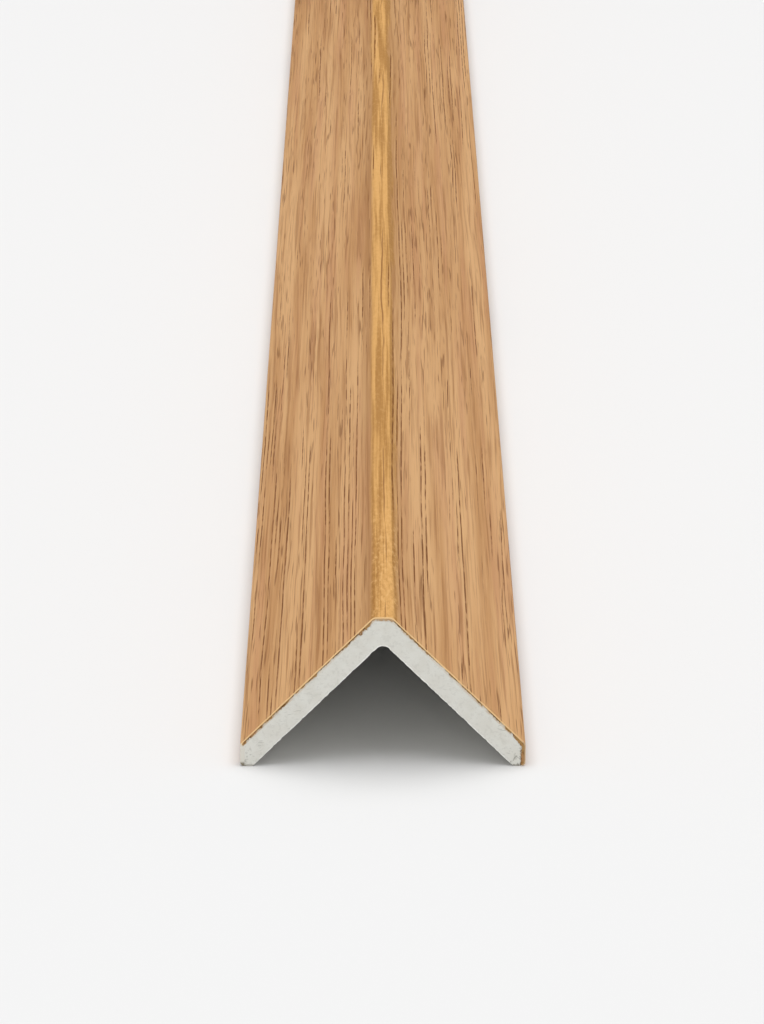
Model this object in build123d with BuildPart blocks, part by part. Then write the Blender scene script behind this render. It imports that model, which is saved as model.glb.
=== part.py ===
from build123d import *
import os
from math import sqrt

# L-shaped corner trim: a pale extruded plastic angle, wrapped outside in a wood-grain layer.
# It lies as a tent, with its outer corner up and both toes on the floor. X runs across the
# tent, Y along the stock and Z up. The origin is on the floor, under the middle of the ridge.

# Driving dimensions, in millimetres
length = 1000.0  # stock length, sawn square at both ends
leg = 20.0  # each leg, from the other leg's outer face to the point of the toe
wall = 2.35  # thickness of a leg, with the wrap
wrap_thickness = 0.4  # wood-grain layer
apex_flat = 1.7  # narrow flat along the outer corner, over the wrap
foot_width = 1.15  # flat under each toe, with the wrap's trimmed edge
inner_radius = 0.75  # fillet inside the corner
bend_radius = 0.15  # outer corners of the core, which the wrap bends round
heel_radius = 0.25  # corner of the core between its foot and its inner face
wrap_lift = 0.05  # height of the wrap's trimmed edge, so that the core stands on the floor
wrap_edge_radius = 0.3  # outer corner of the wrap's trimmed edge

# The legs stand at 45 degrees, so a step across a leg is sqrt(2) times as long upwards.
steep = sqrt(2)

# Finished section, over the wrap
toe_height = wall * steep - foot_width  # upright side of each toe
half_width = (leg * steep - toe_height) / 2
outer_peak = half_width + toe_height  # where the two outer faces would meet
inner_peak = outer_peak - wall * steep  # where the two inner faces would meet
ridge = outer_peak - apex_flat / 2  # height of the flat along the corner

# Core section, under the wrap
core_half_width = half_width - wrap_thickness
core_peak = outer_peak - wrap_thickness * steep
core_ridge = ridge - wrap_thickness


def wrapped_corners(bottom):
    """Corners of the core's wrapped side, from the left toe at that height over to the right."""
    left = [
        (-core_half_width, bottom),
        (-core_half_width, core_peak - core_half_width),
        (core_ridge - core_peak, core_ridge),
    ]
    return left + [(-x, z) for x, z in reversed(left)]


def bare_corners():
    """Corners of the core's bare side, from the right foot up inside the angle to the left."""
    return [
        (core_half_width, 0),
        (inner_peak, 0),
        (0, inner_peak),
        (-inner_peak, 0),
        (-core_half_width, 0),
    ]


# Core: one extrusion with two upright-sided toes and a rounded inner corner
with BuildPart() as core_profile:
    with BuildSketch(Plane.XZ):
        with BuildLine():
            FilletPolyline(*wrapped_corners(0), radius=bend_radius)
            FilletPolyline(*bare_corners(), radius=[heel_radius, inner_radius, heel_radius])
        make_face()
    extrude(amount=length / 2, both=True)
core_profile.part.label = "core_profile"

# Wrap: one sheet bent over the core, trimmed just above the floor at both toes
with BuildPart() as woodgrain_wrap:
    with BuildSketch(Plane.XZ) as wrap_section:
        with BuildLine():
            FilletPolyline(*wrapped_corners(wrap_lift), radius=bend_radius)
            offset(amount=wrap_thickness, side=Side.LEFT)
        make_face()
        trimmed_edge = wrap_section.vertices().group_by(Axis.Y)[0].sort_by(Axis.X)
        fillet([trimmed_edge[0], trimmed_edge[-1]], radius=wrap_edge_radius)
    extrude(amount=length / 2, both=True)
woodgrain_wrap.part.label = "woodgrain_wrap"

os.makedirs("parts", exist_ok=True)
for piece in (core_profile, woodgrain_wrap):
    export_step(piece.part, f"parts/{piece.part.label}.step")

print("tent", 2 * half_width, "wide and", ridge, "high; inner faces meet at", inner_peak)
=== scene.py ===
"""Corner trim lying as a tent: a pale extruded core and the wood-grain wrap bent over it.

Both pieces are laid out flat first and then bent to their cross-section, as the real wrap is. The pores
of the wood are grooves in the flat sheet, and the printed grain follows them.
"""

import logging
from collections.abc import Sequence
from dataclasses import dataclass, field
from enum import Enum
from math import pi, radians, sin, sqrt, tan

import bpy
import bmesh
import numpy as np
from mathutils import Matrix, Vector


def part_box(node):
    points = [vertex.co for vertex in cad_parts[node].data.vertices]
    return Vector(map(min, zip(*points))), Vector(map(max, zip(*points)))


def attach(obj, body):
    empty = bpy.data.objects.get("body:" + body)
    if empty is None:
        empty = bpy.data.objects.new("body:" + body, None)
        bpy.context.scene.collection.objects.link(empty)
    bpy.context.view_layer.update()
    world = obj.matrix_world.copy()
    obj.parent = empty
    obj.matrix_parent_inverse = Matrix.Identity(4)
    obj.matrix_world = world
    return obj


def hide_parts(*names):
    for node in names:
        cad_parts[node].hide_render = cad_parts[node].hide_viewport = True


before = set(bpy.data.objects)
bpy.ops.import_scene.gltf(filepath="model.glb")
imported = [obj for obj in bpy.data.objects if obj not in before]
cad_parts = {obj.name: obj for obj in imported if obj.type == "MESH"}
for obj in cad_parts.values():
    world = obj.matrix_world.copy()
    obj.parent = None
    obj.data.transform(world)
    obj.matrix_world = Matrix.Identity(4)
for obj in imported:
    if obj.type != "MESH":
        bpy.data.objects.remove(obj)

log = logging.getLogger("corner_trim")

MM = 0.001
STEEP = sqrt(2)
SHARE = "share"
GRAIN = "grain"
PORE = "pore"
BAKE_MAP = "OFBake"
TIGHT = 1e-5

Point = tuple[float, float]
Colour = tuple[float, float, float, float]
Place = tuple[float, float, float]


def srgb(red: int, green: int, blue: int) -> Colour:
    """Turn a screen colour into the linear one that shaders take.

    Args:
        red: Red from 0 to 255.
        green: Green from 0 to 255.
        blue: Blue from 0 to 255.

    Returns:
        The linear colour, with full alpha.
    """
    linear = (share / 12.92 if share <= 0.04045 else ((share + 0.055) / 1.055) ** 2.4
              for share in (red / 255, green / 255, blue / 255))
    return (*linear, 1.0)


class Side(Enum):
    """The two broad sides of a strip, by their place in its thickness."""

    INSIDE = 0.0
    OUTSIDE = 1.0


@dataclass(frozen=True)
class Section:
    """Sizes of the section in metres: the overall ones from the CAD boxes, the rest the trim's own."""

    half_width: float
    ridge: float
    wrap_thickness: float
    wrap_lift: float
    half_length: float
    wall: float = 2.35 * MM
    apex_flat: float = 1.7 * MM
    inner_radius: float = 0.75 * MM
    bend_radius: float = 0.15 * MM
    heel_radius: float = 0.25 * MM
    wrap_edge_radius: float = 0.3 * MM
    foot_rim: float = 0.3 * MM

    @classmethod
    def from_frame(cls) -> "Section":
        """Read the overall sizes from the CAD nodes' boxes.

        Returns:
            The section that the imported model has.
        """
        wrap_low, wrap_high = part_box("woodgrain_wrap")
        core_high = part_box("core_profile")[1]
        return cls(
            half_width=wrap_high[0],
            ridge=wrap_high[2],
            wrap_thickness=wrap_high[0] - core_high[0],
            wrap_lift=wrap_low[2],
            half_length=core_high[1],
        )

    @property
    def outer_peak(self) -> float:
        """Height where the two outer faces would meet."""
        return self.ridge + self.apex_flat / 2

    @property
    def inner_peak(self) -> float:
        """Height where the two inner faces would meet."""
        return self.outer_peak - self.wall * STEEP

    def tent_line(self, depth: float, bottom: float, toe_radius: float = 0.0) -> list[Point]:
        """Return the outline of the outside, from the left toe over the ridge to the right toe.

        Args:
            depth: How far the line lies under the finished surface.
            bottom: Height at which the line starts and ends.
            toe_radius: Radius of the lower outer corners, or 0 for a line that ends there.

        Returns:
            Points of the line, with its bends rounded.
        """
        side = self.half_width - depth
        peak = self.outer_peak - depth * STEEP
        top = self.ridge - depth
        left = [(-side, bottom), (-side, peak - side), (top - peak, top)]
        radii = [self.bend_radius + self.wrap_thickness - depth] * 4
        if toe_radius:
            left = [(-side + toe_radius * 1.1, bottom)] + left
            radii = [toe_radius] + radii + [toe_radius]
        return rounded(left + [(-x, z) for x, z in reversed(left)], radii)

    def bare_line(self) -> list[Point]:
        """Return the core's inside, from the left foot up to the corner and down to the right foot.

        Returns:
            Points of the line, with its bends rounded.
        """
        start = self.half_width - self.wrap_thickness - self.foot_rim
        heel = self.inner_peak
        corners = [(-start, 0.0), (-heel, 0.0), (0.0, heel), (heel, 0.0), (start, 0.0)]
        return rounded(corners, [self.heel_radius, self.inner_radius, self.heel_radius])


def rounded(corners: Sequence[Point], radii: Sequence[float], steps: int = 8) -> list[Point]:
    """Round the inner corners of an open line.

    Args:
        corners: Corners of the line, its two ends among them.
        radii: Radius at each corner but the ends.
        steps: Straight pieces in each arc.

    Returns:
        The line's points, with an arc in place of each inner corner.
    """
    line = [corners[0]]
    for before, corner, after, radius in zip(corners, corners[1:], corners[2:], radii):
        back = np.subtract(before, corner)
        ahead = np.subtract(after, corner)
        back = back / np.linalg.norm(back)
        ahead = ahead / np.linalg.norm(ahead)
        half = np.arccos(np.clip(back @ ahead, -1, 1)) / 2
        middle = (back + ahead) / np.linalg.norm(back + ahead)
        centre = np.array(corner) + middle * radius / sin(half)
        start = np.array(corner) + back * radius / tan(half) - centre
        stop = np.array(corner) + ahead * radius / tan(half) - centre
        turn = pi - 2 * half
        for step in range(steps + 1):
            share = step / steps
            spoke = (sin((1 - share) * turn) * start + sin(share * turn) * stop) / sin(turn)
            line.append(tuple(centre + spoke))
    line.append(corners[-1])
    return line


def line_length(line: Sequence[Point]) -> float:
    """Return the length of a line of points."""
    return float(np.linalg.norm(np.diff(np.array(line), axis=0), axis=1).sum())


@dataclass(frozen=True)
class Value:
    """What a node gives, ready for sums."""

    nodes: "Nodes"
    socket: bpy.types.NodeSocket

    def __add__(self, other: object) -> "Value":
        """Add a number or another value."""
        return self.nodes.math("ADD", self, other)

    def __sub__(self, other: object) -> "Value":
        """Take a number or another value away."""
        return self.nodes.math("SUBTRACT", self, other)

    def __rsub__(self, other: float) -> "Value":
        """Take this value away from a number."""
        return self.nodes.math("SUBTRACT", other, self)

    def __mul__(self, other: object) -> "Value":
        """Multiply by a number or another value."""
        return self.nodes.math("MULTIPLY", self, other)

    def __truediv__(self, other: object) -> "Value":
        """Divide by a number or another value."""
        return self.nodes.math("DIVIDE", self, other)

    def __abs__(self) -> "Value":
        """Drop the sign."""
        return self.nodes.math("ABSOLUTE", self)


class Nodes:
    """Adds nodes to one tree and links them."""

    def __init__(self, tree: bpy.types.NodeTree) -> None:
        """Keep the tree that the nodes go into."""
        self.tree = tree

    def add(self, kind: str, inputs: dict | None = None, **settings: object) -> bpy.types.Node:
        """Add one node.

        Args:
            kind: The node's type.
            inputs: Numbers or values by input name or number.
            **settings: The node's own settings.

        Returns:
            The new node.
        """
        node = self.tree.nodes.new(kind)
        for name, value in settings.items():
            setattr(node, name, value)
        for key, value in (inputs or {}).items():
            self.feed(node.inputs[key], value)
        return node

    def get(self, kind: str, inputs: dict | None = None, output: int | str = 0, **settings: object) -> Value:
        """Add one node and return one of its outputs, the first unless another is named."""
        return Value(self, self.add(kind, inputs, **settings).outputs[output])

    def feed(self, socket: bpy.types.NodeSocket, value: object) -> None:
        """Give an input a fixed value or another node's output."""
        if isinstance(value, Value):
            self.tree.links.new(value.socket, socket)
        else:
            socket.default_value = value

    def math(self, operation: str, *values: object, clamp: bool = False) -> Value:
        """Combine numbers."""
        inputs = dict(enumerate(values))
        return self.get("ShaderNodeMath", inputs, operation=operation, use_clamp=clamp)

    def combine(self, x: object, y: object, z: object) -> Value:
        """Make a vector of three numbers."""
        return self.get("ShaderNodeCombineXYZ", {0: x, 1: y, 2: z})

    def separate(self, vector: Value) -> list[Value]:
        """Return a vector's three numbers."""
        return [Value(self, socket) for socket in self.add("ShaderNodeSeparateXYZ", {0: vector}).outputs]

    def in_mm(self, vector: Value) -> Value:
        """Turn a place in metres into millimetres."""
        return self.get("ShaderNodeVectorMath", {0: vector, "Scale": 1 / MM}, operation="SCALE")

    def ramp(self, value: object, low: object, high: object, to_low: float = 0.0,
             to_high: float = 1.0) -> Value:
        """Map a range smoothly onto another and hold it beyond its ends."""
        inputs = {"Value": value, "From Min": low, "From Max": high,
                  "To Min": to_low, "To Max": to_high}
        return self.get("ShaderNodeMapRange", inputs, interpolation_type="SMOOTHSTEP")

    def noise(self, place: object, scale: Sequence[float], detail: float = 2.0,
              roughness: float = 0.5, shift: object = 0.0) -> Value:
        """Sample a stretched noise.

        Args:
            place: Coordinates in millimetres.
            scale: Repeats in each millimetre, along each axis.
            detail: Octaves of finer noise.
            roughness: How strong the finer octaves are.
            shift: Moves the pattern, so that two noises differ.

        Returns:
            A value about 0.5.
        """
        inputs = {0: place, 1: tuple(scale), 2: self.combine(shift, shift, shift)}
        spot = self.get("ShaderNodeVectorMath", inputs, operation="MULTIPLY_ADD")
        inputs = {"Vector": spot, "Scale": 1.0, "Detail": detail, "Roughness": roughness}
        return self.get("ShaderNodeTexNoise", inputs)

    def mix(self, share: object, first: object, second: object) -> Value:
        """Mix two colours."""
        return self.get("ShaderNodeMix", {0: share, 6: first, 7: second}, output=2, data_type="RGBA")

    def tint(self, colour: object, over: object, value: Value, low: float, high: float,
             most: float = 1.0) -> Value:
        """Lay a colour over another where a value goes from low to high, up to a greatest share."""
        return self.mix(self.ramp(value, low, high, 0.0, most), colour, over)


class FinishNodes(Nodes):
    """Nodes of a material."""

    def __init__(self, name: str) -> None:
        """Start a material with a plain shader.

        Args:
            name: Name of the material.
        """
        self.material = bpy.data.materials.new(name)
        self.material.use_nodes = True
        super().__init__(self.material.node_tree)

    def solid_place(self) -> Value:
        """Return the place on the piece, in millimetres."""
        return self.in_mm(self.get("ShaderNodeTexCoord", output="Object"))

    def flat_place(self) -> Value:
        """Return the place on the flat strip, in millimetres along the grain."""
        return self.in_mm(self.get("ShaderNodeAttribute", output="Vector", attribute_name=GRAIN))

    def bump(self, height: Value, strength: float, distance: float) -> Value:
        """Turn a height into a bump of the surface."""
        return self.get("ShaderNodeBump", {"Height": height, "Strength": strength, "Distance": distance})

    def dress(self, inputs: dict) -> bpy.types.Material:
        """Feed the shader's named inputs.

        Args:
            inputs: Numbers or values by input name.

        Returns:
            The material.
        """
        for name, value in inputs.items():
            self.feed(self.tree.nodes["Principled BSDF"].inputs[name], value)
        return self.material


class ShapeNodes(Nodes):
    """Nodes of a Geometry Nodes tree, with its named inputs."""

    def __init__(self, name: str) -> None:
        """Start an empty tree that takes and gives one shape.

        Args:
            name: Name of the tree.
        """
        super().__init__(bpy.data.node_groups.new(name, "GeometryNodeTree"))
        for way in ("INPUT", "OUTPUT"):
            self.tree.interface.new_socket("Geometry", in_out=way, socket_type="NodeSocketGeometry")
        self.entry = self.add("NodeGroupInput")
        self.values: dict[str, object] = {}

    def value(self, name: str, kind: str, value: object) -> None:
        """Add a named input.

        Args:
            name: What the input sets.
            kind: Float, Int, Object or Material.
            value: What the modifier gets for it.
        """
        socket = self.tree.interface.new_socket(name, in_out="INPUT", socket_type=f"NodeSocket{kind}")
        self.values[socket.identifier] = value

    def read(self, name: str) -> Value:
        """Return a named input that was added before."""
        return Value(self, self.entry.outputs[name])

    def finish(self, shape: Value) -> None:
        """Realize every instance, set the material and pass the shape out.

        Args:
            shape: The whole shape.
        """
        solid = self.get("GeometryNodeRealizeInstances", {0: shape})
        inputs = {"Geometry": solid, "Material": self.read("Finish")}
        self.add("NodeGroupOutput", {0: self.get("GeometryNodeSetMaterial", inputs)})

    def apply(self, name: str) -> bpy.types.Object:
        """Run the tree once and keep its result as a plain mesh.

        Args:
            name: Name of the piece.

        Returns:
            The piece's object, at the origin.
        """
        host = new_object(f"{name}_host", bpy.data.meshes.new(f"{name}_host"))
        modifier = host.modifiers.new("Shape", "NODES")
        modifier.node_group = self.tree
        for identifier, value in self.values.items():
            modifier[identifier] = value
        shaped = host.evaluated_get(bpy.context.evaluated_depsgraph_get())
        mesh = bpy.data.meshes.new_from_object(shaped)
        mesh.name = name
        bpy.data.objects.remove(host)
        return new_object(name, mesh)

    def store(self, shape: Value, name: str, value: Value, kind: str) -> Value:
        """Keep a value on every point under a name."""
        inputs = {"Geometry": shape, "Name": name, "Value": value}
        return self.get("GeometryNodeStoreNamedAttribute", inputs, data_type=kind, domain="POINT")

    def place(self, shape: Value, position: Value) -> Value:
        """Move every point to a new position."""
        return self.get("GeometryNodeSetPosition", {"Geometry": shape, "Position": position})

    def position(self) -> Value:
        """Return each point's position."""
        return self.get("GeometryNodeInputPosition")

    def named(self, name: str, kind: str) -> Value:
        """Read a value that was kept under a name."""
        return self.get("GeometryNodeInputNamedAttribute", {"Name": name}, data_type=kind)

    def shares(self) -> list[Value]:
        """Return each point's place in its strip from 0 to 1: across, along and up."""
        return self.separate(self.named(SHARE, "FLOAT_VECTOR"))

    def random(self, low: float, high: float, number: Value, seed: Value) -> Value:
        """Return a random number that is always the same for one number and seed."""
        inputs = {2: low, 3: high, 7: number, 8: seed}
        return self.get("FunctionNodeRandomValue", inputs, output=1, data_type="FLOAT")


def new_object(name: str, data: bpy.types.ID) -> bpy.types.Object:
    """Put an object with that data into the scene.

    Args:
        name: Name of the object.
        data: Its mesh, curve, lamp or camera.

    Returns:
        The object.
    """
    made = bpy.data.objects.new(name, data)
    bpy.context.collection.objects.link(made)
    return made


def section_curve(name: str, lines: Sequence[Sequence[Point]]) -> bpy.types.Object:
    """Make one object that holds the lines of a cross-section.

    Args:
        name: Name of the object.
        lines: Lines in the X-Z plane, the outer one first.

    Returns:
        The curve object, to be removed once the piece is made.
    """
    curve = bpy.data.curves.new(name, "CURVE")
    curve.dimensions = "3D"
    for line in lines:
        spline = curve.splines.new("POLY")
        spline.points.add(len(line) - 1)
        for point, (x, z) in zip(spline.points, line):
            point.co = (x, 0.0, z, 1.0)
    return new_object(name, curve)


@dataclass(frozen=True)
class TornEdge:
    """The sawn edge under the outer surface, in millimetres: the print, then the torn brown layer.

    The wrap and the core both read it at the same places, so that a tear runs on from one to the other.
    Each tear has its middle across the tent, its half length and its thickness.
    """

    print_depth: float = 0.14
    tear_depth: float = 0.18
    roughness: float = 0.02
    toe: float = 12.55
    toe_height: float = 2.2
    toe_tears: Point = (0.56, 0.3)
    above_toes: Point = (1.55, 1.9)
    ragged: Point = (0.45, 1.55)
    tears: tuple[Place, ...] = (
        (-10.75, 2.0, 0.18), (-12.55, 0.3, 0.19), (-11.65, 0.3, 0.2), (-10.95, 0.25, 0.19),
        (-10.5, 0.25, 0.2), (-9.0, 0.45, 0.19), (-7.2, 0.35, 0.12), (-6.2, 0.3, 0.2), (-5.3, 0.3, 0.12),
        (-2.9, 0.4, 0.1), (-2.2, 0.35, 0.13), (-1.6, 0.6, 0.3), (0.0, 1.1, 0.17), (2.0, 0.9, 0.17),
        (4.1, 0.25, 0.2), (4.8, 0.3, 0.1), (6.25, 0.3, 0.16), (7.5, 0.7, 0.14), (8.8, 0.3, 0.18),
        (10.05, 0.2, 0.12), (10.5, 0.25, 0.22), (11.45, 0.35, 0.21), (12.2, 0.35, 0.24))

    def tear(self, nodes: Nodes, place: Value) -> Value:
        """Return how thick the torn layer is at each place, in millimetres.

        Args:
            nodes: The tree being built, a shader's or a shape's.
            place: Place on the piece, in millimetres.

        Returns:
            The thickness.
        """
        x, _, z = nodes.separate(place)
        torn = nodes.ramp(nodes.noise(place, (0.5, 0.003, 0.5)), 0.35, 0.6, 0.08, 0.17)
        for middle, reach, thickness in self.tears:
            away = abs(x - middle)
            torn = nodes.math("MAXIMUM", torn, nodes.ramp(away, reach * 1.4, reach * 0.6, 0.0, thickness))
        above = nodes.math("MAXIMUM", nodes.ramp(x, -self.toe, 0.3 - self.toe),
                           nodes.ramp(z, *self.above_toes))
        torn = torn * above * nodes.ramp(x, -self.toe - 0.4, -self.toe - 0.2)
        toe = nodes.ramp(z, 0.0, self.toe_height, *self.toe_tears)
        toe = toe * nodes.ramp(x, self.toe - 0.2, self.toe)
        return nodes.math("MAXIMUM", torn, toe)

    def print_limit(self, nodes: Nodes, place: Value) -> Value:
        """Return how deep the print with its painted highlight reaches, in millimetres: not at all on the
        left toe's side.

        Args:
            nodes: The tree being built, a shader's or a shape's.
            place: Place on the piece, in millimetres.

        Returns:
            The depth.
        """
        x, _, _ = nodes.separate(place)
        ridge = nodes.ramp(abs(x), 1.0, 0.7, self.print_depth, self.print_depth + 0.05)
        left = nodes.ramp(x, -self.toe - 0.4, -self.toe - 0.25, -0.05, 1.0)
        right = nodes.ramp(x, self.toe, self.toe + 0.25, 1.0, 0.11)
        return nodes.math("MINIMUM", ridge, nodes.math("MINIMUM", left, right))

    def brown(self, nodes: Nodes, place: Value, depth: Value) -> Value:
        """Return where the torn brown layer shows, from 0 to 1.

        Args:
            nodes: The tree being built, a shader's or a shape's.
            place: Place on the piece, in millimetres.
            depth: Depth under the outer surface, in millimetres.

        Returns:
            The share of brown.
        """
        jagged = nodes.noise(place, (2.2, 0.003, 2.2), detail=4.0, roughness=0.65, shift=4.0)
        jagged = nodes.ramp(jagged, 0.3, 0.7, *self.ragged)
        limit = self.print_limit(nodes, place)
        reach = nodes.math("MULTIPLY_ADD", self.tear(nodes, place), jagged, limit)
        return nodes.ramp(reach - depth, 0.0, 0.08) * nodes.ramp(depth - limit, -0.02, 0.02)


@dataclass
class Strip:
    """A long solid between two lines of a cross-section, made flat and bent to the section."""

    name: str
    outer: list[Point]
    inner: list[Point]
    half_length: float
    thickness: float
    visible: Side
    columns: int
    rows: int
    layers: int
    row_crowding: float
    buried: float = 0.0
    relief: float = 0.01 * MM
    nick_depth: float = 0.07 * MM
    edge: TornEdge = field(default_factory=TornEdge)
    map_lengths: int = 5
    map_gap: float = 1.5 * MM

    @property
    def width(self) -> float:
        """Length of the outer line, which is the flat strip's width."""
        return line_length(self.outer)

    def build(self, material: bpy.types.Material) -> bpy.types.Object:
        """Make the piece as a plain closed mesh.

        Args:
            material: The finish of the whole piece.

        Returns:
            The piece.
        """
        lines = section_curve(f"{self.name}_section", (self.outer, self.inner))
        nodes = ShapeNodes(f"{self.name} shape")
        nodes.value("Section", "Object", lines)
        nodes.value("Finish", "Material", material)
        for name, value in self.sizes().items():
            nodes.value(name, "Int" if isinstance(value, int) else "Float", value)
        nodes.finish(self.saw_ends(nodes, self.bend(nodes, self.flat_strip(nodes))))
        piece = nodes.apply(self.name)
        bpy.data.objects.remove(lines)
        self.simplify_hidden_side(piece.data)
        self.lay_out_map(piece.data)
        piece.data.shade_smooth()
        piece.data.set_sharp_from_angle(angle=radians(30))
        return piece

    def sizes(self) -> dict[str, int | float]:
        """Return the tree's sizes by the names of its inputs."""
        return {"Columns": self.columns, "Rows": self.rows, "Layers": self.layers, "Width": self.width,
                "Half length": self.half_length, "Thickness": self.thickness, "Buried": self.buried,
                "Relief": self.relief}

    def flat_strip(self, nodes: ShapeNodes) -> Value:
        """Lay out the flat strip, its width along X, its length along Y and its outside on top.

        Args:
            nodes: The tree being built.

        Returns:
            The flat strip.
        """
        inputs = {f"Vertices {axis}": nodes.read(name) + 1.0
                  for axis, name in (("X", "Columns"), ("Y", "Rows"), ("Z", "Layers"))}
        box = nodes.get("GeometryNodeMeshCube", {"Size": (1.0, 1.0, 1.0), **inputs})
        inputs = {0: nodes.position(), 1: (0.5, 0.5, 0.5)}
        shares = nodes.get("ShaderNodeVectorMath", inputs, operation="ADD")
        box = nodes.store(box, SHARE, shares, "FLOAT_VECTOR")
        across, along, height = nodes.shares()
        depth = (height - 1.0) * nodes.read("Thickness")
        flat = nodes.combine(self.column_place(nodes, across), self.row_place(nodes, along), depth)
        return nodes.store(nodes.place(box, flat), GRAIN, nodes.position(), "FLOAT_VECTOR")

    def column_place(self, nodes: ShapeNodes, share: Value) -> Value:
        """Place a column across the flat strip."""
        return share * nodes.read("Width")

    def row_place(self, nodes: ShapeNodes, share: Value) -> Value:
        """Place a row along the length, with the rows crowded towards both ends.

        Args:
            nodes: The tree being built.
            share: The row's place along the strip, from 0 to 1.

        Returns:
            The place in metres.
        """
        signed = nodes.math("MULTIPLY_ADD", share, 2.0, -1.0)
        left = nodes.math("SUBTRACT", 1.0, abs(signed), clamp=True)
        reach = (1.0 - nodes.math("POWER", left, self.row_crowding)) * nodes.read("Half length")
        return reach * nodes.math("SIGN", signed)

    def carving(self, nodes: ShapeNodes, place: Value) -> Value:
        """Return how far the visible side is carved at each point, in metres.

        Args:
            nodes: The tree being built.
            place: Place on the flat strip, in millimetres.

        Returns:
            The depth.
        """
        carved = nodes.noise(place, (1.7, 0.0, 0.0)) * nodes.read("Relief")
        nicks = nodes.noise(place, (2.4, 0.003, 0.0), detail=3.0)
        return carved + nodes.ramp(nicks, 0.45, 0.75, 0.0, self.nick_depth) * self.at_end(nodes)

    def at_end(self, nodes: ShapeNodes) -> Value:
        """Return 1 on the points of the two sawn ends, and 0 elsewhere."""
        _, along, _ = nodes.shares()
        return nodes.math("GREATER_THAN", abs(along - 0.5), 0.5 - TIGHT)

    def bend(self, nodes: ShapeNodes, shape: Value) -> Value:
        """Bend the flat strip to its section.

        Args:
            nodes: The tree being built.
            shape: The flat strip.

        Returns:
            The bent strip.
        """
        across, along, _ = nodes.separate(nodes.position())
        _, _, height = nodes.shares()
        lines = nodes.get("GeometryNodeObjectInfo", {"Object": nodes.read("Section")}, "Geometry")
        share = nodes.math("DIVIDE", across, nodes.read("Width"), clamp=True)
        outer, inner = (
            nodes.get("GeometryNodeSampleCurve", {"Curves": lines, "Factor": share, "Curve Index": line},
                      "Position", mode="FACTOR")
            for line in (0, 1))
        carved = self.carving(nodes, nodes.in_mm(nodes.position())) / nodes.read("Thickness")
        carved = carved * nodes.math("COMPARE", height, self.visible.value, TIGHT)
        level = height + carved if self.visible is Side.INSIDE else height - carved
        between = nodes.get("ShaderNodeMix", {0: level, 4: inner, 5: outer}, 1, data_type="VECTOR")
        x, _, z = nodes.separate(between)
        return nodes.place(shape, nodes.combine(x, along, z))

    def saw_ends(self, nodes: ShapeNodes, shape: Value) -> Value:
        """Roughen both sawn ends and tear them, inwards only.

        Args:
            nodes: The tree being built.
            shape: The bent strip.

        Returns:
            The strip with its ends.
        """
        x, y, z = nodes.separate(nodes.position())
        place = nodes.in_mm(nodes.position())
        _, _, height = nodes.shares()
        depth = (1.0 - height) * nodes.read("Thickness")
        depth = (depth + nodes.read("Buried")) * (1 / MM)
        torn = self.edge.brown(nodes, place, depth) * (self.edge.tear_depth * MM)
        rough = nodes.noise(place, (3.0, 0.003, 3.0), detail=3.0)
        inward = nodes.math("MULTIPLY_ADD", rough, self.edge.roughness * MM, torn)
        inward = inward * self.at_end(nodes) * nodes.math("SIGN", y)
        return nodes.place(shape, nodes.combine(x, y - inward, z))

    def simplify_hidden_side(self, mesh: bpy.types.Mesh) -> None:
        """Make the side that lies against the other piece of long faces, from end to end.

        Args:
            mesh: The piece's mesh.
        """
        hidden = 1.0 - self.visible.value
        work = bmesh.new()
        work.from_mesh(mesh)
        share = work.verts.layers.float_vector[SHARE]
        on_side = {vertex for vertex in work.verts if abs(vertex[share].z - hidden) < TIGHT}
        faces = [face for face in work.faces if on_side.issuperset(face.verts)]
        bmesh.ops.delete(work, geom=faces, context="FACES")
        rim = [vertex for vertex in on_side if vertex.is_valid]
        front, back = (rim_line(rim, share, 1, end) for end in (0.0, 1.0))
        left, right = (rim_line(rim, share, 0, end)[1:-1] for end in (0.0, 1.0))
        last = len(front) - 1
        turns = [0] + [at for at in range(1, last) if bends_at(front[at - 1:at + 2])] + [last]
        for low, high in zip(turns, turns[1:]):
            loop = front[low:high + 1]
            loop += right if high == last else []
            loop += back[low:high + 1][::-1]
            loop += left[::-1] if low == 0 else []
            work.faces.new(loop)
        bmesh.ops.recalc_face_normals(work, faces=work.faces)
        work.to_mesh(mesh)
        work.free()

    def lay_out_map(self, mesh: bpy.types.Mesh) -> None:
        """Lay the strip out in a square map, its visible side cut into lengths side by side.

        Args:
            mesh: The piece's mesh.
        """
        corner_vertex = np.zeros(len(mesh.loops), int)
        mesh.loops.foreach_get("vertex_index", corner_vertex)
        share = vectors(mesh, SHARE)[corner_vertex]
        flat = vectors(mesh, GRAIN)[corner_vertex]
        starts = np.zeros(len(mesh.polygons), int)
        totals = np.zeros(len(mesh.polygons), int)
        mesh.polygons.foreach_get("loop_start", starts)
        mesh.polygons.foreach_get("loop_total", totals)
        lowest = np.minimum.reduceat(share, starts)
        spread = np.maximum.reduceat(share, starts) - lowest
        middle = np.add.reduceat(flat[:, 1], starts) / totals + self.half_length
        of_face = np.repeat(np.arange(len(starts)), totals)

        across = flat[:, 0]
        along = flat[:, 1] + self.half_length
        depth = -flat[:, 2]
        cut = 2 * self.half_length / self.map_lengths
        turn = np.floor(middle / cut).clip(0, self.map_lengths - 1)[of_face]
        pitch = self.width + self.map_gap
        squeeze = cut / (2 * self.half_length)
        right = self.map_lengths * pitch

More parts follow.
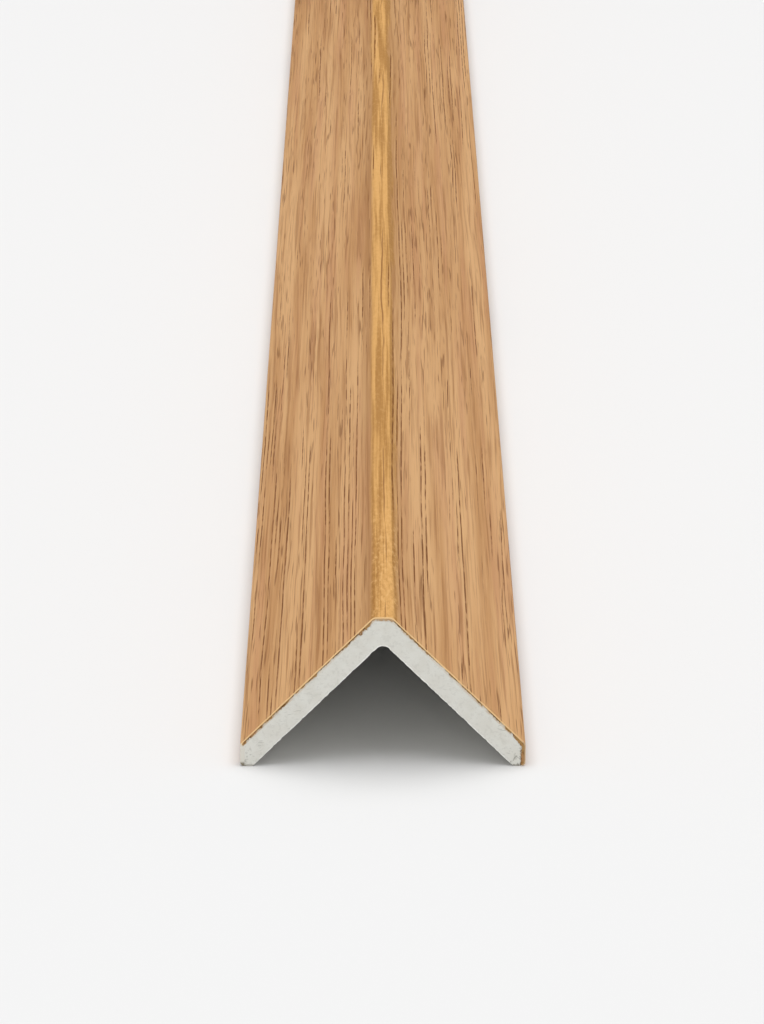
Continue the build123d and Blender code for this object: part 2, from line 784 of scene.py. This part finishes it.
        places = np.stack([turn * pitch + across, along - turn * cut + self.map_gap * 2], 1)
        level = lowest[of_face, 2]
        hidden = (spread[of_face, 2] < TIGHT) & (np.abs(level - self.visible.value) > 0.5)
        places[hidden] = np.stack([right + across * squeeze, along * squeeze], 1)[hidden]
        toe = spread[of_face, 0] < TIGHT
        second = (lowest[of_face, 0] > 0.5) * (self.thickness * self.map_lengths + self.map_gap)
        beside = right + self.width * squeeze + self.map_gap
        places[toe] = np.stack([beside + second + depth * self.map_lengths, along * squeeze], 1)[toe]
        end = spread[of_face, 1] < TIGHT
        second = (lowest[of_face, 1] > 0.5) * (self.thickness * self.map_lengths + self.map_gap)
        above = cut + self.map_gap * 4
        places[end] = np.stack([across * self.map_lengths, above + second + depth * self.map_lengths], 1)[end]

        layer = mesh.uv_layers.new(name=BAKE_MAP)
        spots = (places + self.map_gap / 2) / (places.max() + self.map_gap)
        layer.uv.foreach_set("vector", spots.astype(np.float32).ravel())


def rim_line(rim: Sequence[bmesh.types.BMVert], share: object, axis: int,
             end: float) -> list[bmesh.types.BMVert]:
    """Return the points of one edge of a strip's side, in order.

    Args:
        rim: The points all round the side.
        share: The layer with each point's place in the strip, from 0 to 1.
        axis: The axis that the edge stands across.
        end: 0 or 1, which of the two edges it is.

    Returns:
        The edge's points.
    """
    edge = [vertex for vertex in rim if abs(vertex[share][axis] - end) < TIGHT]
    return sorted(edge, key=lambda vertex: vertex[share][1 - axis])


def bends_at(points: Sequence[bmesh.types.BMVert], least: float = 1.0) -> bool:
    """Tell whether a section turns at the middle one of three points.

    Args:
        points: Three points, one after another.
        least: The smallest turn that counts, in degrees.

    Returns:
        True if it turns by more.
    """
    before, middle, after = (np.array((point.co.x, point.co.z)) for point in points)
    back = middle - before
    ahead = after - middle
    turn = abs(back[0] * ahead[1] - back[1] * ahead[0])
    return turn > sin(radians(least)) * np.linalg.norm(back) * np.linalg.norm(ahead)


def vectors(mesh: bpy.types.Mesh, name: str) -> np.ndarray:
    """Read a vector that each of a mesh's points has.

    Args:
        mesh: The mesh.
        name: Name of the vector.

    Returns:
        One row for each point.
    """
    values = np.zeros(len(mesh.vertices) * 3)
    mesh.attributes[name].data.foreach_get("vector", values)
    return values.reshape(-1, 3)


@dataclass
class WoodWrap(Strip):
    """The wood-grain layer, with its pores as grooves in the flat sheet.

    Each pore lies on a track of three columns: its bottom, and its two sides. Near the photographed end
    the pores crowd in bundles, each with its middle across the sheet, its half width and its strength.
    """

    tracks: int = 72
    pore_half_width: float = 0.15 * MM
    pore_depth: float = 0.035 * MM
    pore_side: float = -0.35
    track_jitter: float = 0.05 * MM
    track_wiggle: float = 0.12 * MM
    wander: float = 1.8 * MM
    streak_middle: float = 0.15
    streak_half_width: float = 1.1
    thinning: Point = (-470.0, -380.0)
    bundling: Point = (-380.0, -430.0)
    thinned: float = 0.07
    spared: float = 0.16
    crowding: float = 0.9
    pore_levels: Point = (0.95, 1.07)
    calm_edge: float = 2 * MM
    seed_step: float = 3.7
    pore_step: float = 7.3
    wiggle_step: float = 5.1
    between: float = -0.14
    bundles: tuple[Place, ...] = (
        (-15.8, 0.3, -0.02), (-13.4, 0.3, 0.02), (-11.0, 0.85, 0.13), (-7.4, 0.35, 0.14),
        (-5.15, 0.8, 0.13), (-3.3, 0.6, 0.18), (2.2, 0.65, 0.16), (4.2, 0.3, 0.06), (5.9, 0.55, 0.13),
        (10.3, 0.75, 0.15), (13.9, 0.3, 0.03), (15.2, 0.3, -0.02), (17.0, 0.3, 0.03))
    seed: int = 11

    def sizes(self) -> dict[str, int | float]:
        """Return the tree's sizes and those of the pores."""
        return super().sizes() | {
            "Tracks": self.tracks, "Seed": self.seed, "Pore half width": self.pore_half_width,
            "Pore depth": self.pore_depth, "Track jitter": self.track_jitter,
            "Track wiggle": self.track_wiggle, "Wander": self.wander}

    def track_of(self, nodes: ShapeNodes, share: Value) -> tuple[Value, Value]:
        """Find a column's track.

        Args:
            nodes: The tree being built.
            share: The column's place across the sheet, from 0 to 1.

        Returns:
            The track's number, and the column's place there: -1, 0 or 1.
        """
        column = nodes.math("ROUND", share * nodes.read("Columns"))
        before = column - 1.0
        track = nodes.math("FLOOR", before / 3.0)
        return track, nodes.math("MULTIPLY_ADD", track, -3.0, before) - 1.0

    def column_place(self, nodes: ShapeNodes, share: Value) -> Value:
        """Place a column across the flat sheet, on its track.

        Args:
            nodes: The tree being built.
            share: The column's place across the sheet, from 0 to 1.

        Returns:
            The place in metres.
        """
        track, role = self.track_of(nodes, share)
        pitch = nodes.read("Width") / nodes.read("Tracks")
        jitter = nodes.random(-1.0, 1.0, track, nodes.read("Seed")) * nodes.read("Track jitter")
        middle = nodes.math("MULTIPLY_ADD", track + 0.5, pitch, jitter)
        place = nodes.math("MULTIPLY_ADD", role, nodes.read("Pore half width"), middle)
        return nodes.math("MINIMUM", nodes.math("MAXIMUM", place, 0.0), nodes.read("Width"))

    def flat_strip(self, nodes: ShapeNodes) -> Value:
        """Lay out the flat sheet, mark its pores and let the grain wander.

        Args:
            nodes: The tree being built.

        Returns:
            The flat sheet.
        """
        shape = super().flat_strip(nodes)
        share, _, _ = nodes.shares()
        track, role = self.track_of(nodes, share)
        place = nodes.in_mm(nodes.position())
        strength = self.pore_strength(nodes, track, place)
        value = strength * nodes.math("MULTIPLY_ADD", abs(role), self.pore_side - 1.0, 1.0)
        shape = nodes.store(shape, PORE, value, "FLOAT")

        x, y, z = nodes.separate(nodes.position())
        drift = nodes.noise(place, (0.1, 0.01, 0.0), detail=3.0) - 0.5
        from_edge = nodes.math("MINIMUM", x, nodes.read("Width") - x)
        own = nodes.combine(track * self.wiggle_step, nodes.separate(place)[1], 0.0)
        wiggle = nodes.noise(own, (1.0, 0.07, 0.0)) - 0.5
        moved = drift * nodes.read("Wander") + wiggle * nodes.read("Track wiggle")
        moved = moved * nodes.ramp(from_edge, 0.0, self.calm_edge)
        return nodes.place(shape, nodes.combine(x + moved, y, z))

    def pore_strength(self, nodes: ShapeNodes, track: Value, place: Value) -> Value:
        """Return how deep and dark a track's pore is at each point.

        Args:
            nodes: The tree being built.
            track: The track's number.
            place: Place on the flat sheet, in millimetres.

        Returns:
            From 0, no pore, to 1.
        """
        x, y, _ = nodes.separate(place)
        shift = nodes.read("Seed") * self.seed_step
        on_track = nodes.combine(track * self.pore_step, y, 0.0)
        own = nodes.noise(on_track, (1.0, 0.022, 0.0), detail=1.0, shift=shift)
        beads = nodes.noise(on_track, (1.0, 0.12, 0.0), shift=shift + 80.0)
        crowd = nodes.noise(place, (0.24, 0.005, 0.0), detail=1.0, shift=shift + 40.0)
        off_ridge = abs(x - (self.width / MM / 2 + self.streak_middle))
        outside, inside = self.streak_half_width + 0.2, self.streak_half_width - 0.2
        level = nodes.math("MULTIPLY_ADD", crowd, self.crowding, own)
        level = level - nodes.ramp(off_ridge, outside, inside, 0.0, self.spared)
        level = level - nodes.ramp(y, *self.thinning, 0.0, self.thinned)
        level = nodes.math("MULTIPLY_ADD", nodes.ramp(y, *self.bundling), self.bundled(nodes, x), level)
        return nodes.ramp(level, *self.pore_levels) * nodes.ramp(beads, 0.3, 0.6, 0.2, 1.0)

    def bundled(self, nodes: ShapeNodes, x: Value) -> Value:
        """Return how much the pores crowd near the photographed end, in bundles and less between them.

        Args:
            nodes: The tree being built.
            x: Place across the flat sheet, in millimetres.

        Returns:
            The change of the pores' level.
        """
        right = x - self.width / MM / 2
        crowd = self.between
        for middle, reach, strength in self.bundles:
            near = nodes.ramp(abs(right - middle), reach + 0.3, reach, self.between, strength)
            crowd = nodes.math("MAXIMUM", crowd, near)
        return crowd

    def carving(self, nodes: ShapeNodes, place: Value) -> Value:
        """Return how deep the pores and the fine lengthwise grain are.

        Args:
            nodes: The tree being built.
            place: Place on the flat sheet, in millimetres.

        Returns:
            The depth in metres.
        """
        grain = nodes.noise(place, (2.6, 0.012, 0.0)) * nodes.read("Relief")
        groove = nodes.math("MAXIMUM", nodes.named(PORE, "FLOAT"), 0.0)
        return nodes.math("MULTIPLY_ADD", groove, nodes.read("Pore depth"), grain)


@dataclass(frozen=True)
class PrintedOak:
    """Printed wood grain on the wrap, with its torn brown edge on the sawn ends."""

    light: Colour = srgb(219, 173, 123)
    tan: Colour = srgb(196, 147, 98)
    pink: Colour = srgb(199, 145, 105)
    shade: Colour = srgb(156, 106, 63)
    pore: Colour = srgb(112, 66, 30)
    gold: Colour = srgb(219, 168, 102)
    glow: Colour = srgb(236, 190, 128)
    amber: Colour = srgb(152, 104, 46)
    # Painted highlight: the print's cut edge, lighter than the print itself, as where the edge catches the
    # light.
    edge: Colour = srgb(240, 202, 148)
    torn: Colour = srgb(132, 96, 58)
    toasted: Colour = srgb(184, 147, 96)
    reddish: Colour = srgb(182, 130, 100)
    faded: Colour = srgb(206, 178, 142)
    bare: Colour = srgb(216, 213, 203)
    # Painted contact shadow at the bottom of the left toe's sawn end.
    foot: Colour = srgb(108, 102, 86)
    cut: TornEdge = field(default_factory=TornEdge)
    streak_middle: float = 0.15
    streak_half_width: float = 1.22
    specked: Point = (-455.0, -485.0)
    # How near the end the painted contact shadow at the left toe reaches, in millimetres along the length.
    foot_shadow_span: Point = (-498.5, -499.5)
    skin: float = 0.004

    def material(self) -> bpy.types.Material:
        """Make the finish.

        Returns:
            The material.
        """
        nodes = FinishNodes("printed_oak")
        flat = nodes.flat_place()
        solid = nodes.solid_place()
        colour, height = self.grain(nodes, flat)
        colour = self.streak(nodes, colour, solid)
        colour = self.pores(nodes, colour, flat)
        return nodes.dress({
            "Base Color": self.sawn(nodes, colour, solid, flat),
            "Roughness": nodes.ramp(height, 0.3, 0.7, 0.68, 0.55),
            "Normal": nodes.bump(height, 0.3, 0.05 * MM),
            "Specular IOR Level": 0.03})

    def grain(self, nodes: Nodes, flat: Value) -> tuple[Value, Value]:
        """Print the soft bands, streaks and fibres.

        Args:
            nodes: The tree being built.
            flat: Place on the flat sheet in millimetres, along the grain.

        Returns:
            The colour, and the height for the bump.
        """
        x, y, z = nodes.separate(flat)
        sway = nodes.noise(flat, (0.6, 0.05, 0.0), shift=47.0) - 0.5
        flat = nodes.combine(nodes.math("MULTIPLY_ADD", sway, 0.25, x), y, z)
        bands = nodes.noise(flat, (0.34, 0.008, 0.0), shift=3.0)
        blush = nodes.noise(flat, (0.6, 0.012, 0.0), shift=29.0)
        streaks = nodes.noise(flat, (1.5, 0.022, 0.0), detail=3.0, roughness=0.55, shift=7.0)
        lines = nodes.noise(flat, (2.7, 0.03, 0.0), shift=19.0)
        fibres = nodes.noise(flat, (5.0, 0.07, 0.0), detail=3.0, roughness=0.6, shift=13.0)
        specks = nodes.noise(flat, (8.0, 1.6, 0.0), shift=17.0)
        dashes = nodes.noise(flat, (4.0, 0.09, 0.0), detail=1.0, shift=57.0)
        bundles = nodes.noise(flat, (0.45, 0.012, 0.0), detail=1.0, shift=61.0)
        dashes = dashes + nodes.ramp(bundles, 0.4, 0.62, -0.1, 0.04)
        colour = self.tan
        for over, value, low, high, most in (
            (self.light, bands, 0.36, 0.64, 1.0),
            (self.pink, blush, 0.48, 0.68, 0.5),
            (self.shade, streaks, 0.52, 0.74, 0.6),
            (self.shade, lines, 0.52, 0.7, 0.6),
            (self.light, lines, 0.48, 0.3, 0.4),
            (self.shade, fibres, 0.52, 0.72, 0.5),
            (self.light, fibres, 0.48, 0.25, 0.3),
            (self.light, specks, 0.6, 0.8, 0.25),
            (self.pore, dashes, 0.6, 0.7, 0.6),
        ):
            colour = nodes.tint(colour, over, value, low, high, most)
        return colour, fibres * 0.7 + streaks * 0.3

    def streak(self, nodes: Nodes, colour: Value, solid: Value) -> Value:
        """Print the golden streak along the ridge, and the darker band on its left.

        Args:
            nodes: The tree being built.
            colour: The grain's colour.
            solid: Place on the piece in millimetres.

        Returns:
            The colour with the streak.
        """
        x, y, _ = nodes.separate(solid)
        sway = nodes.noise(nodes.combine(0.0, y, 0.0), (0.0, 0.03, 0.0), shift=67.0) - 0.5
        right = nodes.math("MULTIPLY_ADD", sway, 0.5, x - self.streak_middle)
        ragged = nodes.noise(solid, (0.9, 0.03, 0.0), detail=4.0, roughness=0.65) - 0.5
        edge = nodes.math("MULTIPLY_ADD", ragged, nodes.ramp(right, -0.5, 0.5, 0.7, 2.2), abs(right))
        inside = nodes.ramp(edge, self.streak_half_width + 0.25, self.streak_half_width - 0.2, 0.0, 0.9)
        tone = nodes.noise(solid, (1.8, 0.022, 0.0), detail=3.0, roughness=0.6, shift=23.0)
        fleck = nodes.noise(solid, (3.0, 0.7, 0.0), detail=3.0, roughness=0.7, shift=27.0)
        near = nodes.ramp(y, *self.specked)
        specks = nodes.math("MULTIPLY_ADD", near, 0.65, 0.35)
        lean = tone + (nodes.ramp(right, -0.6, 0.0, -0.03, 0.12) * near - 0.04)
        lean = lean - nodes.ramp(right, 0.6, 1.0, 0.0, 0.16)
        dark = nodes.ramp(lean, 0.54, 0.36, 0.0, 0.7)
        gold = nodes.mix(dark, self.gold, self.amber)
        rim = nodes.math("MULTIPLY_ADD", dark, 0.5, 0.25) * specks
        gold = nodes.mix(nodes.ramp(fleck, 0.5, 0.62) * rim, gold, self.amber)
        gold = nodes.mix(nodes.ramp(fleck, 0.47, 0.36, 0.0, 0.45) * specks, gold, self.glow)
        thread = nodes.ramp(abs(nodes.math("MULTIPLY_ADD", sway, 1.5, right)), 0.14, 0.04)
        gold = nodes.mix(thread * nodes.ramp(tone, 0.5, 0.56, 0.0, 0.7), gold, self.pore)
        band = nodes.ramp(right, -2.6, -1.3) * nodes.ramp(right, -0.6, -1.0)
        band = band * nodes.ramp(tone, 0.3, 0.7, 0.15, 0.75)
        colour = nodes.tint(colour, self.amber, abs(right), 3.4, 1.4, 0.18)
        return nodes.mix(inside, nodes.mix(band, colour, self.shade), gold)

    def pores(self, nodes: Nodes, colour: Value, flat: Value) -> Value:
        """Darken the pores, in dashes, and lighten their sides.

        Args:
            nodes: The tree being built.
            colour: The colour so far.
            flat: Place on the flat sheet, in millimetres.

        Returns:
            The colour with the pores.
        """
        pore = nodes.get("ShaderNodeAttribute", output="Fac", attribute_name=PORE)
        colour = nodes.tint(colour, self.light, pore, -0.03, -0.3, 0.4)
        dashes = nodes.noise(flat, (1.6, 0.3, 0.0), roughness=0.6, shift=51.0)
        ink = nodes.ramp(pore, 0.0, 0.5, 0.0, 0.9) * nodes.ramp(dashes, 0.36, 0.56, 0.3, 1.0)
        return nodes.mix(ink, colour, self.pore)

    def sawn(self, nodes: Nodes, colour: Value, solid: Value, flat: Value) -> Value:
        """Colour the sawn edge: the thin print with its painted highlight, then the bare or torn layer under
        it, and a painted contact shadow at the left toe.

        Args:
            nodes: The tree being built.
            colour: The outside's colour.
            solid: Place on the piece, in millimetres.
            flat: Place on the flat sheet, in millimetres.

        Returns:
            The colour with the sawn edge.
        """
        toe = self.cut.toe
        depth = nodes.separate(flat)[2] * -1.0
        x, y, z = nodes.separate(solid)
        mottle = nodes.noise(solid, (2.0, 0.003, 2.6), detail=3.0, roughness=0.6, shift=14.0)
        hue = nodes.noise(solid, (1.3, 0.003, 1.3), shift=37.0)
        torn = nodes.tint(self.torn, self.toasted, mottle, 0.36, 0.56)
        torn = nodes.tint(torn, self.reddish, hue, 0.54, 0.66, 0.35)
        torn = nodes.tint(torn, self.faded, abs(x), 1.3, 0.9, 0.9)
        fringe = nodes.ramp(abs(x), 6.0, 10.0, 0.2, 0.35) * nodes.ramp(x, -toe - 0.2, -toe)
        under = nodes.mix(fringe * nodes.ramp(mottle, 0.3, 0.6), self.bare, self.toasted)
        under = nodes.mix(self.cut.brown(nodes, solid, depth), under, torn)
        # Painted highlight: the print's thin layer takes the light edge colour, as where the cut edge catches
        # the light; it fades on the right toe's side.
        rim = nodes.tint(self.edge, self.faded, x, toe + 0.1, toe + 0.35)
        below = depth - self.cut.print_limit(nodes, solid)
        under = nodes.mix(nodes.ramp(below, -0.02, 0.02), rim, under)
        left = nodes.ramp(x, 1.0 - toe, 0.5 - toe, 0.0, 0.85)
        # Painted contact shadow where the left toe meets the floor, near the end.
        foot_shadow = nodes.ramp(z, 0.5, 0.22) * left * nodes.ramp(y, *self.foot_shadow_span)
        colour = nodes.mix(nodes.math("GREATER_THAN", depth, self.skin), colour, under)
        return nodes.mix(foot_shadow, colour, self.foot)


@dataclass(frozen=True)
class PaleCore:
    """Pale extruded plastic, smooth inside the angle and finely pitted on the sawn ends."""

    body: Colour = srgb(217, 216, 208)
    dull: Colour = srgb(212, 210, 201)
    # Painted highlight along the inner edge of the sawn ends, where the edge would catch the light.
    rim_highlight: Colour = srgb(236, 235, 229)
    pit: Colour = srgb(150, 148, 138)
    torn: Colour = srgb(150, 112, 66)
    # Painted contact shadow along the bottom of the sawn ends.
    foot: Colour = srgb(112, 106, 92)
    cut: TornEdge = field(default_factory=TornEdge)
    blade_middle: Point = (-3.0, -48.0)
    blade_radius: float = 60.0
    end_reach: float = 0.35

    def material(self, strip: Strip) -> bpy.types.Material:
        """Make the finish.

        Args:
            strip: The core, for its sizes.

        Returns:
            The material.
        """
        nodes = FinishNodes("pale_core")
        solid = nodes.solid_place()
        _, _, level = nodes.separate(nodes.flat_place())
        _, y, z = nodes.separate(solid)
        on_end = nodes.math("GREATER_THAN", abs(y), strip.half_length / MM - self.end_reach)
        clouds = nodes.noise(solid, (0.7, 0.02, 0.7), detail=3.0, roughness=0.6)
        pits = nodes.noise(solid, (5.0, 0.6, 5.0), detail=3.0, roughness=0.7, shift=9.0)
        colour = nodes.tint(self.dull, self.body, clouds, 0.35, 0.65)
        colour = nodes.mix(self.saw_marks(nodes, solid) * on_end, colour, self.pit)
        colour = nodes.tint(colour, self.pit, pits, 0.64, 0.74, 0.6)
        colour = nodes.mix(self.chips(nodes, solid) * on_end, colour, self.pit)
        # Painted highlight: a thin light line along the inner edge of each sawn end.
        rim = self.rim(nodes, solid, level + strip.thickness / MM)
        colour = nodes.mix(rim * on_end, colour, self.rim_highlight)
        depth = strip.buried / MM - level
        colour = nodes.mix(self.cut.brown(nodes, solid, depth), colour, self.torn)
        # Painted contact shadow: the sawn ends darken towards the floor.
        under = nodes.ramp(z, 0.25, 0.05, 0.0, 0.55) * on_end
        return nodes.dress({
            "Base Color": nodes.mix(under, colour, self.foot),
            "Roughness": nodes.ramp(pits, 0.3, 0.7, 0.5, 0.7),
            "Normal": nodes.bump(pits, 0.2, 0.04 * MM)})

    def saw_marks(self, nodes: Nodes, solid: Value) -> Value:
        """Draw the faint arcs that the saw left on the ends, strongest near the toes.

        Args:
            nodes: The tree being built.
            solid: Place on the piece, in millimetres.

        Returns:
            Where they show, from 0 to 1.
        """
        x, _, z = nodes.separate(solid)
        right = x - self.blade_middle[0]
        up = z - self.blade_middle[1]
        radius = nodes.math("SQRT", nodes.math("MULTIPLY_ADD", right, right, up * up))
        turn = nodes.math("ARCTAN2", up, right) * self.blade_radius
        arcs = nodes.noise(nodes.combine(radius, turn, 0.0), (5.5, 0.9, 0.0), shift=5.0)
        patches = nodes.noise(solid, (0.6, 0.003, 0.6), detail=1.0, shift=2.0)
        faint = nodes.ramp(patches, 0.46, 0.6, 0.0, 0.5) * nodes.ramp(abs(x), 5.0, 10.0, 0.25, 1.0)
        return nodes.ramp(arcs, 0.58, 0.7) * faint

    def chips(self, nodes: Nodes, solid: Value) -> Value:
        """Draw the small grey marks on the ends, crowded at both feet and most at the right one.

        Args:
            nodes: The tree being built.
            solid: Place on the piece, in millimetres.

        Returns:
            Where they show, from 0 to 1.
        """
        x, _, z = nodes.separate(solid)
        marks = nodes.noise(solid, (3.4, 0.003, 3.4), roughness=0.6, shift=33.0)
        foot = nodes.ramp(x, 10.6, 11.6) * nodes.ramp(z, 2.4, 1.0)
        left = nodes.ramp(x, -11.0, -12.4, 0.0, 0.6) * nodes.ramp(z, 2.4, 1.4)
        crowd = nodes.math("MAXIMUM", nodes.math("MAXIMUM", foot, left), 0.15)
        return nodes.ramp(marks, 0.54, 0.64, 0.0, 0.85) * crowd

    def rim(self, nodes: Nodes, solid: Value, from_inside: Value) -> Value:
        """Draw the painted highlight: a thin light line along the inner edge of an end, where the edge would
        catch the light.

        Args:
            nodes: The tree being built.
            solid: Place on the piece, in millimetres.
            from_inside: Distance from the inner face, in millimetres.

        Returns:
            Where it shows, from 0 to 1.
        """
        ragged = nodes.noise(solid, (3.5, 0.003, 3.5), detail=4.0, roughness=0.65, shift=6.0)
        reach = nodes.ramp(ragged, 0.3, 0.7, 0.03, 0.17)
        return nodes.ramp(reach - from_inside, 0.0, 0.04, 0.0, 0.85)


@dataclass(frozen=True)
class Lamp:
    """One soft square lamp, in metres and watts, tilted in degrees from facing straight down."""

    name: str
    size: float
    power: float
    place: Place
    tilt: Point

    def hang(self) -> None:
        """Hang the lamp."""
        light = bpy.data.lights.new(self.name, "AREA")
        light.shape = "SQUARE"
        light.size = self.size
        light.energy = self.power
        lamp = new_object(self.name, light)
        lamp.location = self.place
        lamp.rotation_euler = (radians(self.tilt[0]), radians(self.tilt[1]), 0.0)


@dataclass
class Studio:
    """Pale floor, soft light and the camera."""

    camera_place: Place = (-0.72 * MM, -929.2 * MM, 160.2 * MM)
    pitch: float = 17.56
    yaw: float = 0.086
    lens: float = 175.8
    floor_size: float = 6.0
    floor_tone: float = 0.82
    room_strength: float = 0.45
    lamps: tuple[Lamp, ...] = (
        Lamp("overhead", 2.4, 34.5, (0.0, -0.25, 1.9), (2.0, 1.0)),
        Lamp("front_fill", 0.9, 9.0, (0.0, -2.4, 0.36), (84.0, 0.0)))

    def build(self) -> None:
        """Make the floor, the lights and the camera."""
        self.floor()
        self.room()
        for lamp in self.lamps:
            lamp.hang()
        self.camera()

    def floor(self) -> None:
        """Make the pale floor."""
        mesh = bpy.data.meshes.new("floor")
        half = self.floor_size / 2
        corners = [(-half, -half, 0), (half, -half, 0), (half, half, 0), (-half, half, 0)]
        mesh.from_pydata(corners, [], [(0, 1, 2, 3)])
        tone = (self.floor_tone, self.floor_tone, self.floor_tone, 1.0)
        finish = {"Base Color": tone, "Roughness": 0.9, "Specular IOR Level": 0.0}
        mesh.materials.append(FinishNodes("pale_floor").dress(finish))
        new_object("floor", mesh)

    def room(self) -> None:
        """Light the scene evenly from all round."""
        world = bpy.data.worlds.new("soft_room")
        world.use_nodes = True
        background = world.node_tree.nodes["Background"]
        background.inputs["Color"].default_value = (1.0, 1.0, 1.0, 1.0)
        background.inputs["Strength"].default_value = self.room_strength
        bpy.context.scene.world = world

    def camera(self) -> None:
        """Set the camera at the photograph's angle."""
        data = bpy.data.cameras.new("camera")
        data.lens = self.lens
        data.clip_start = 0.01
        camera = new_object("camera", data)
        camera.location = self.camera_place
        camera.rotation_euler = (radians(90 - self.pitch), 0.0, radians(-self.yaw))
        bpy.context.scene.camera = camera


def build_core(section: Section) -> bpy.types.Object:
    """Build the pale core.

    Args:
        section: Sizes of the section.

    Returns:
        The piece.
    """
    core = Strip(
        name="extruded_core",
        outer=section.tent_line(section.wrap_thickness, 0.0),
        inner=section.bare_line(),
        half_length=section.half_length,
        thickness=section.wall - section.wrap_thickness,
        visible=Side.INSIDE,
        columns=260,
        rows=60,
        layers=16,
        row_crowding=2.0,
        buried=section.wrap_thickness,
    )
    return core.build(PaleCore().material(core))


def build_wrap(section: Section) -> bpy.types.Object:
    """Build the wood-grain wrap.

    Args:
        section: Sizes of the section.

    Returns:
        The piece.
    """
    tracks = 72
    wrap = WoodWrap(
        name="oak_wrap",
        outer=section.tent_line(0.0, section.wrap_lift, section.wrap_edge_radius),
        inner=section.tent_line(section.wrap_thickness, section.wrap_lift),
        half_length=section.half_length,
        thickness=section.wrap_thickness,
        visible=Side.OUTSIDE,
        columns=3 * tracks + 1,
        rows=330,
        layers=6,
        row_crowding=1.25,
        relief=0.014 * MM,
        tracks=tracks,
    )
    return wrap.build(PrintedOak().material())


def main() -> None:
    """Build the trim and its studio, piece by piece."""
    logging.basicConfig(level=logging.INFO, format="%(name)s: %(message)s")
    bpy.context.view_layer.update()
    bpy.context.scene.view_settings.view_transform = "Standard"
    section = Section.from_frame()
    pieces = ((build_core, "core_profile", "core"), (build_wrap, "woodgrain_wrap", "woodgrain"))
    for build, node, slot in pieces:
        piece = build(section)
        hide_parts(node)
        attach(piece, "root")
        log.info("%s: %d faces", piece.name, len(piece.data.polygons))
    Studio().build()


if __name__ == "__main__":
    main()
